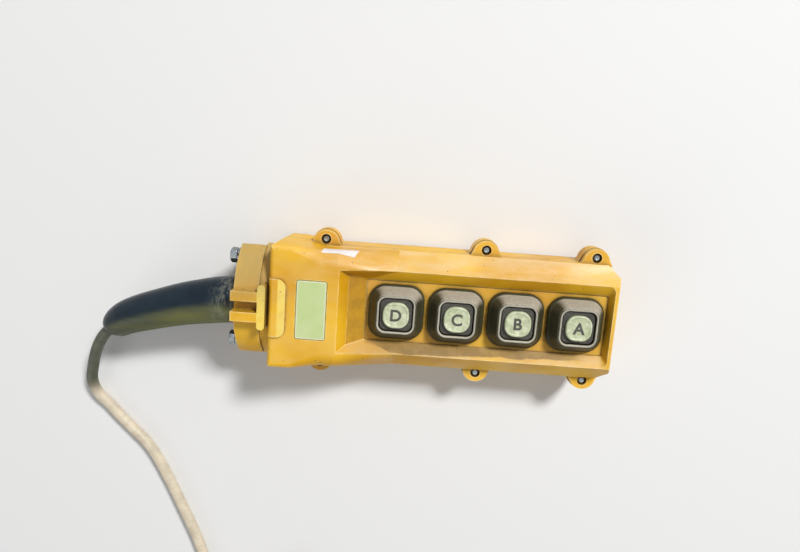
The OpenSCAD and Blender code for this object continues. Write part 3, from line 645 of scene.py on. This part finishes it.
def turned(profile, place, sides=48):
    """Rings round the Z axis of place. Each entry of the profile is a radius and a height. A third
    number above 0 is a hexagon's half width across flats, and a fourth is the depth of flutes."""
    rings = []
    for radius, height, *more in profile:
        ring = []
        for k in range(sides):
            angle = 2 * math.pi * k / sides
            r = radius
            if more and more[0]:
                fold = (angle + math.pi / 6) % (math.pi / 3) - math.pi / 6
                r = min(radius, more[0] / math.cos(fold))
            if len(more) > 1:
                r -= more[1] * (k % 4 in (0, 1))
            ring.append(place @ Vector((r * math.cos(angle), r * math.sin(angle), height)))
        rings.append(ring)
    return rings


def tube_rings(points, radii, angles):
    """Rings round a line. Each angle, in degrees, comes with what it adds to the radius."""
    rings = []
    for i, (point, radius) in enumerate(zip(points, radii)):
        ahead = (points[min(i + 1, len(points) - 1)] - points[max(i - 1, 0)]).normalized()
        side = ahead.cross(Vector((0, 0, 1))).normalized()
        up = side.cross(ahead)
        ring = []
        for degrees, lift in angles:
            a = math.radians(degrees)
            ring.append(point + (radius + lift) * (math.cos(a) * side + math.sin(a) * up))
        rings.append(ring)
    return rings


def make_boot(letter, x, slope_material, foot_material, rim_material):
    """A rubber boot round a button."""
    name = "boot_skin_" + letter
    rings = [rect_ring((x, 0), half, half, radius, z) for half, radius, z in BOOT_RINGS]
    boot = bpy.data.objects.new(name, skin(name, rings, loop=True, sharp=55))
    bpy.context.scene.collection.objects.link(boot)
    for material in (slope_material, foot_material, rim_material):
        boot.data.materials.append(material)
    sides = len(rings[0])
    for face in boot.data.polygons:
        ring = face.index // sides
        if BOOT_FOOT[0] <= ring < BOOT_FOOT[1]:
            face.material_index = 1
        elif BOOT_RIM[0] <= ring < BOOT_RIM[1]:
            face.material_index = 2
    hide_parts("boot_" + letter)
    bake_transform(boot)


def make_disc(letter, x, material, ink):
    """A button's disc and its letter."""
    name = "disc_cap_" + letter
    rings = [rect_ring((x, 0), half, half, radius, z) for half, radius, z in DISC_RINGS]
    disc = new_piece(name, skin(name, rings), "push_" + letter, material)
    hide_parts("disc_" + letter)
    curve = bpy.data.curves.new("letter_line_" + letter, "FONT")
    curve.body = letter.upper()
    curve.size = LETTER_SIZE * MM
    curve.extrude = LETTER_THICKNESS * MM
    curve.offset = LETTER_BOLDER * MM
    curve.resolution_u = 6
    text = bpy.data.objects.new("letter_line_" + letter, curve)
    mesh = bpy.data.meshes.new_from_object(text)
    bpy.data.objects.remove(text)
    bpy.data.curves.remove(curve)
    low = [min(v.co[i] for v in mesh.vertices) for i in (0, 1)]
    high = [max(v.co[i] for v in mesh.vertices) for i in (0, 1)]
    middle = Vector(((low[0] + high[0]) / 2, (low[1] + high[1]) / 2, 0))
    for v in mesh.vertices:
        v.co += Vector((x, 0, DISC_FACE)) * MM - middle
    mesh.materials.clear()
    new_piece("letter_" + letter, mesh, "push_" + letter, ink)


def make_label_border(material):
    """The pale rim along the blank plate's edge."""
    half_x, half_y = LABEL_HALF
    rings = [
        rect_ring(LABEL_AT, half_x - inset, half_y - inset, LABEL_RADIUS - inset, z, 6)
        for inset, z in LABEL_RIM
    ]
    new_piece("label_border", skin("label_border", rings, loop=True), "housing", material)


def make_sticker(material):
    """A thin blank strip that lies on the round edge of the label block."""
    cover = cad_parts["front_cover"]
    tree = BVHTree.FromObject(cover, bpy.context.evaluated_depsgraph_get())
    across, along = 10, 24
    corners = [Vector(corner) for corner in STICKER_CORNERS]
    rows = []
    for i in range(along + 1):
        row = []
        for j in range(across + 1):
            u, v = i / along, j / across
            point = corners[0].lerp(corners[1], u).lerp(corners[3].lerp(corners[2], u), v)
            spot, normal, _, _ = tree.find_nearest(point * MM)
            row.append((spot / MM + normal * STICKER_LIFT, normal))
        rows.append(row)
    bm = bmesh.new()
    top = [[bm.verts.new(p * MM) for p, _ in row] for row in rows]
    low = [[bm.verts.new((p - n * STICKER_THICKNESS) * MM) for p, n in row] for row in rows]
    for i in range(along):
        for j in range(across):
            bm.faces.new((top[i][j], top[i + 1][j], top[i + 1][j + 1], top[i][j + 1]))
            bm.faces.new((low[i][j], low[i][j + 1], low[i + 1][j + 1], low[i + 1][j]))
    for i in range(along):
        for j in (0, across):
            bm.faces.new((top[i][j], low[i][j], low[i + 1][j], top[i + 1][j]))
    for j in range(across):
        for i in (0, along):
            bm.faces.new((top[i][j], top[i][j + 1], low[i][j + 1], low[i][j]))
    bmesh.ops.recalc_face_normals(bm, faces=bm.faces)
    for face in bm.faces:
        face.smooth = True
    mesh = bpy.data.meshes.new("sticker")
    bm.to_mesh(mesh)
    bm.free()
    mesh.set_sharp_from_angle(angle=math.radians(50))
    new_piece("sticker", mesh, "housing", material)


def make_screws(material):
    """Six cover screws: socket head under the rear ear, threaded end in the cover."""
    thread_from, thread_to, pitch = 26.6, 30.0, 0.66
    root, crest = 1.7, 1.98
    head = [
        (0.3, 15.9, 0), (1.5, 15.9, 1.25), (1.5, 14.5, 1.25), (1.75, 14.4, 0), (2.7, 14.4, 0),
        (3.05, 14.6, 0), (3.2, 15.0, 0), (3.2, 16.8, 0), (3.05, 17.0, 0), (1.95, 17.0, 0),
    ]
    thread = []
    z = thread_from
    while z < thread_to:
        thread += [(root, z, 0), (crest, z + 0.22, 0), (crest, z + 0.32, 0), (root, z + 0.56, 0)]
        z += pitch
    end = [(root, 30.1, 0), (1.45, 30.4, 0), (0.9, 30.4, 0), (0.75, 30.3, 0), (0.2, 30.3, 0)]
    places = [(x, y) for y in (ROW_Y, -ROW_Y) for x in EAR_X]
    for number, (x, y) in enumerate(places, 1):
        place = Matrix.Translation((x, y, 0)) @ Matrix.Rotation(0.37 * number, 4, "Z")
        name = "cover_screw_%d" % number
        mesh = skin(name, turned(head + thread + end, place, 36))
        screw = new_piece(name + "_turned", mesh, "housing", material)
        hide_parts(name)


def make_bolts(material):
    """Two collar bolts: hexagon head, spring washer with its split, and flat washer."""
    shank = [
        (0.3, -30.5, 0), (2.3, -30.5, 0), (2.5, -30.2, 0), (2.5, 0.02, 0), (4.85, 0.02, 0),
        (5.0, 0.15, 0), (5.0, 1.05, 0), (4.85, 1.2, 0), (3.0, 1.2, 0),
    ]
    spring = ((2.7, 1.3), (4.2, 1.3), (4.3, 1.4), (4.3, 2.4), (4.2, 2.5), (2.7, 2.5))
    spring_from, spring_turn, spring_rise, steps = 20, 345, 0.25, 44    # degrees, degrees, mm
    head = [
        (3.0, 2.6, 0), (3.85, 2.65, 0), (4.3, 2.85, 4.0), (4.62, 3.05, 4.0), (4.62, 6.0, 4.0),
        (4.42, 6.25, 4.0), (4.1, 6.45, 4.0), (3.8, 6.6, 0), (3.0, 6.6, 0), (2.8, 6.5, 0),
        (0.3, 6.5, 0),
    ]
    for number, y in ((1, BOLT_Y), (2, -BOLT_Y)):
        along = Matrix.Rotation(math.radians(-90), 4, "Y")
        place = Matrix.Translation((COLLAR_END_X, y, BOLT_Z)) @ along
        name = "collar_bolt_%d" % number
        split = []
        for k in range(steps + 1):
            angle = math.radians(spring_from + spring_turn * k / steps)
            shift = spring_rise * (k / steps - 0.5)
            split.append([
                place @ Vector((r * math.cos(angle), r * math.sin(angle), z + shift))
                for r, z in spring
            ])
        parts = [
            skin(name + "_washer", turned(shank, place)),
            skin(name + "_spring", split),
            skin(name + "_head", turned(head, place @ Matrix.Rotation(0.2, 4, "Z"), 96)),
        ]
        bolt = new_piece(name + "_turned", joined(name, parts), "housing", material)
        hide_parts(name)


def make_sleeve(material):
    """The rubber sleeve: a bent cone with two mould lines and a blunt mouth around the cable."""
    # Distances into the collar and past the tip, each with a radius; degrees, each with a height
    root = ((18.0, 13.7), (1.6, 13.7), (0.5, 13.75), (0.1, 14.0))
    mouth = ((0.7, 6.35), (1.2, 5.5), (1.4, 4.6), (1.35, 3.75), (0.2, 3.55))
    mould_line = ((-2.2, 0), (-0.9, 0.16), (0, 0.22), (0.9, 0.16), (2.2, 0))
    sides, mould_line_sides = 40, (17, 37)
    route = [(COLLAR_END_X + x, y, SLEEVE_Z + z, r) for x, y, z, r in SLEEVE_ROUTE]
    points, radii = path_with_radii(route, 7)
    ahead = (points[-1] - points[-2]).normalized()
    first = [points[0] + Vector((dx, 0, 0)) for dx, _ in root]
    last = [points[-1] + ahead * past for past, _ in mouth]
    angles = []
    for k in range(sides):
        bumps = mould_line if k in mould_line_sides else ((0, 0),)
        angles += [(360 * k / sides + a, lift) for a, lift in bumps]
    rings = tube_rings(
        first + points + last, [r for _, r in root] + radii + [r for _, r in mouth], angles)
    mesh = skin("sleeve_boot", rings, sharp=60)
    sleeve = new_piece("sleeve_boot", mesh, "housing", material)
    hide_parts("cable_sleeve")
    return sleeve


def make_tie(material):
    """A strap round the coil's windings with its lock and cut end."""
    x0 = COIL_AT[0]
    y0, y1 = (COIL_AT[1] + y for y in TIE_SPAN)
    half, half_z, radius = (y1 - y0) / 2, 7.4, 4.4
    middle = ((y0 + y1) / 2, TIE_Z)
    outer = rect_ring(middle, half, half_z, radius, 0, 8)
    inner = rect_ring(
        middle, half - TIE_THICKNESS, half_z - TIE_THICKNESS, radius - TIE_THICKNESS, 0, 8)
    rings = []
    for out, within in zip(outer, inner):
        section = ((-2.6, within), (-2.3, out), (2.3, out), (2.6, within))
        rings.append([Vector((x0 + x, p[0], p[1])) for x, p in section])
    strap = skin("strap", rings, loop=True, sharp=60)
    lock_y, lock_half_y = middle[0] + 6, 3.2
    lock_rings = ((3.2, 0.9, 14.6), (3.4, 1.0, 15.0), (3.4, 1.0, 17.4), (3.1, 0.9, 17.8))
    lock = skin("lock", [
        rect_ring((x0, lock_y), half_x, half_x - 0.2, corner, z) for half_x, corner, z in lock_rings
    ])
    section = ((-2.3, 0), (2.3, 0), (2.3, 1), (-2.3, 1))
    end_z, end_bend = 15.3, 0.02
    end = skin("end", [
        [
            Vector((x0 + x, lock_y - lock_half_y - t, end_z + end_bend * t * t + z))
            for x, z in section
        ]
        for t in (-2.0, 0, 2, 4, 6, 7.5)
    ], sharp=60)
    mesh = joined("tie_strap", [strap, lock, end])
    tie = new_piece("tie_strap", mesh, "housing", material)
    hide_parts("coil_tie")
    return tie


def make_connector(body_material, ring_material, pin_material):
    """The cable's connector: shell, fluted coupling ring, and an insert with six pins."""
    body = [
        (3.4, 0.6, 0), (4.3, 0.0, 0), (5.1, 0.3, 0), (5.5, 1.0, 0), (5.9, 2.6, 0), (5.5, 2.9, 0),
        (5.7, 3.7, 0), (6.2, 4.0, 0), (6.4, 5.2, 0), (6.0, 5.5, 0), (6.2, 6.2, 0), (6.9, 6.5, 0),
        (8.0, 7.2, 7.6), (8.0, 11.4, 7.6), (7.4, 12.0, 0), (7.4, 12.4, 0), (9.4, 12.6, 0),
        (10.0, 13.2, 0), (10.0, 17.0, 0), (9.5, 17.4, 0), (9.5, 18.6, 0), (10.0, 19.0, 0),
        (10.0, 30.5, 0), (10.0, 38.0, 0), (8.4, 38.0, 0), (0.3, 38.0, 0),
    ]
    ring = [
        (10.05, 32.0, 0), (12.2, 32.0, 0), (12.8, 32.4, 0), (13.0, 33.0, 0), (13.0, 34.0, 0),
        (13.0, 34.4, 0, 0.45), (13.0, 43.6, 0, 0.45), (13.0, 44.0, 0), (13.0, 45.2, 0),
        (12.5, 45.5, 0), (12.5, 46.3, 0), (13.0, 46.6, 0), (13.0, 49.2, 0), (12.7, 49.8, 0),
        (12.2, 50.0, 0), (11.0, 50.0, 0), (10.7, 49.6, 0), (10.6, 38.4, 0), (10.05, 38.2, 0),
    ]
    insert = [(0.3, 38.0, 0), (8.5, 38.0, 0), (8.5, 39.6, 0), (8.2, 40.0, 0), (0.3, 40.0, 0)]
    pin = [(0.2, 40.0, 0), (1.0, 40.0, 0), (1.0, 46.2, 0), (0.8, 46.7, 0), (0.2, 47.0, 0)]
    pin_circle = 4.2    # mm, radius
    place = Matrix.Translation(PLUG_AT) @ Matrix.Rotation(math.radians(90), 4, "Y")

    mesh = skin("plug_shell", turned(body, place, 72))
    plug = new_piece("plug_shell", mesh, "housing", body_material)
    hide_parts("plug_body")
    mesh = skin("coupling", turned(ring, place, 144), loop=True, sharp=35)
    nut = new_piece("coupling", mesh, "housing", ring_material)
    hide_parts("plug_ring")
    mesh = skin("pin_holder", turned(insert, place))
    holder = new_piece("pin_holder", mesh, "housing", body_material)
    meshes = []
    for k in range(6):
        turn = Matrix.Rotation(math.radians(60 * k), 4, "Z")
        spot = place @ turn @ Matrix.Translation((pin_circle, 0, 0))
        meshes.append(skin("pin", turned(pin, spot, 20)))
    pins = new_piece("pins", joined("pins", meshes), "housing", pin_material)
    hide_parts("plug_insert")
    return [plug, nut, holder, pins]


def seen_directly(tree):
    """1 for camera, glossy and transmission rays, so that metal shows the pale background too."""
    path = tree.nodes.new("ShaderNodeLightPath")
    total = path.outputs["Is Camera Ray"]
    for kind in ("Is Glossy Ray", "Is Transmission Ray"):
        larger = tree.nodes.new("ShaderNodeMath")
        larger.operation = "MAXIMUM"
        tree.links.new(total, larger.inputs[0])
        tree.links.new(path.outputs[kind], larger.inputs[1])
        total = larger.outputs[0]
    return total


def make_stage():
    """A pale floor that keeps the shadow and fades into the background further out."""
    mesh = bpy.data.meshes.new("floor")
    bm = bmesh.new()
    bmesh.ops.create_grid(bm, x_segments=8, y_segments=8, size=FLOOR_HALF)
    bm.to_mesh(mesh)
    bm.free()
    floor = bpy.data.objects.new("floor", mesh)
    bpy.context.scene.collection.objects.link(floor)
    s = Shader("floor_pale")
    s.set(Base_Color=FLOOR, Roughness=0.9)
    far = s.add("VectorMath", {"operation": "LENGTH"}, Vector=s.place).outputs["Value"]
    fade = s.times(s.ramp(far, *FLOOR_FADE), seen_directly(s.tree))
    glow = s.add("Emission", Color=BACKDROP).outputs["Emission"]
    mixed = s.add("MixShader", Fac=fade)
    s.tree.links.new(s.surface.outputs["BSDF"], mixed.inputs[1])
    s.tree.links.new(glow, mixed.inputs[2])
    s.tree.links.new(mixed.outputs["Shader"], s.out.inputs["Surface"])
    mesh.materials.append(s.material)
    floor.location.z = FLOOR_Z


def make_light():
    world = bpy.data.worlds.new("studio")
    world.use_nodes = True
    tree = world.node_tree
    ambient = tree.nodes["Background"]
    ambient.inputs["Color"].default_value = (1.0, 1.0, 1.0, 1.0)
    ambient.inputs["Strength"].default_value = AMBIENT
    shown = tree.nodes.new("ShaderNodeBackground")
    shown.inputs["Color"].default_value = (*BACKDROP, 1.0)
    shown.inputs["Strength"].default_value = 1.0
    mixed = tree.nodes.new("ShaderNodeMixShader")
    tree.links.new(seen_directly(tree), mixed.inputs[0])
    tree.links.new(ambient.outputs[0], mixed.inputs[1])
    tree.links.new(shown.outputs[0], mixed.inputs[2])
    tree.links.new(mixed.outputs[0], tree.nodes["World Output"].inputs["Surface"])
    bpy.context.scene.world = world
    for name, at, size, power in LAMPS:
        data = bpy.data.lights.new(name, "AREA")
        data.size = size
        data.energy = power
        lamp = bpy.data.objects.new(name, data)
        bpy.context.scene.collection.objects.link(lamp)
        lamp.location = at
        lamp.rotation_mode = "QUATERNION"
        lamp.rotation_quaternion = (-Vector(at)).to_track_quat("-Z", "Y")


make_camera()

# The boot rubber gets pale dust and a painted light on its side facing +Y
boot_material = rubber_finish(
    "boot_rubber", (0.030, 0.028, 0.015), (0.30, 0.27, 0.12), 0.12, 0.38, lit_side=0.85)
# A darker copy of the boot rubber for the foot: painted shade
foot_material = rubber_finish("boot_foot", (0.024, 0.023, 0.011), (0.23, 0.21, 0.08), 0.12, 0.42)
# A paler copy of the boot rubber for the rim: rubbed, and a painted highlight along it
rim_material = rubber_finish(
    "boot_rim", (0.20, 0.19, 0.15), (0.60, 0.56, 0.46), 0.85, 0.4, lit_side=0.95)
gasket_material = rubber_finish("gasket_rubber", (0.03, 0.028, 0.026), (0.20, 0.17, 0.12), 0.3, 0.6)
plunger_material = rubber_finish(
    "plunger", (0.035, 0.034, 0.030), (0.22, 0.20, 0.16), 0.22, 0.5, specks=0.22)
connector_material = plastic_finish("connector", (0.035, 0.035, 0.04), (0.06, 0.06, 0.06), 0.45)
coupling_material = plastic_finish("coupling_ring", (0.05, 0.05, 0.055), (0.09, 0.09, 0.09), 0.4)
contact_material = plastic_finish("contacts", (0.60, 0.45, 0.2), (0.7, 0.55, 0.3), 0.3)
tie_material = plastic_finish("tie", (0.03, 0.03, 0.03), (0.05, 0.05, 0.05), 0.4)
ink_material = plastic_finish("ink", (0.05, 0.048, 0.04), (0.09, 0.085, 0.07), 0.5)
label_rim_material = plastic_finish("label_rim", (0.74, 0.74, 0.56), (0.66, 0.66, 0.44), 0.35)
sticker_material = plastic_finish("sticker_film", (0.78, 0.74, 0.72), (0.70, 0.65, 0.64), 0.45)
zinc_material = zinc_finish()
disc_material = disc_finish()

sleeve = make_sleeve(sleeve_finish())
tie = make_tie(tie_material)
connector = make_connector(connector_material, coupling_material, contact_material)
make_cable(cable_finish())

dress(["rear_housing", "front_cover"], housing_finish("housing_yellow", 1.0, 0.0))
dress(["collar"], housing_finish("collar_yellow", 0.2, 0.75))
soften(["rear_housing", "front_cover", "collar"], 0.7)
dress(["gasket"], gasket_material)
buttons = ["button_" + letter for letter in BUTTONS]
dress(buttons, plunger_material)
soften(buttons, 0.5, 3)
for letter, x in zip(BUTTONS, BUTTON_X):
    make_boot(letter, x, boot_material, foot_material, rim_material)
    make_disc(letter, x, disc_material, ink_material)
dress(["label_plate"], label_finish())
soften(["label_plate"], 0.25)
make_label_border(label_rim_material)
make_sticker(sticker_material)
make_screws(zinc_material)
make_bolts(zinc_material)
make_stage()
make_light()
bpy.context.scene.view_settings.view_transform = "Standard"
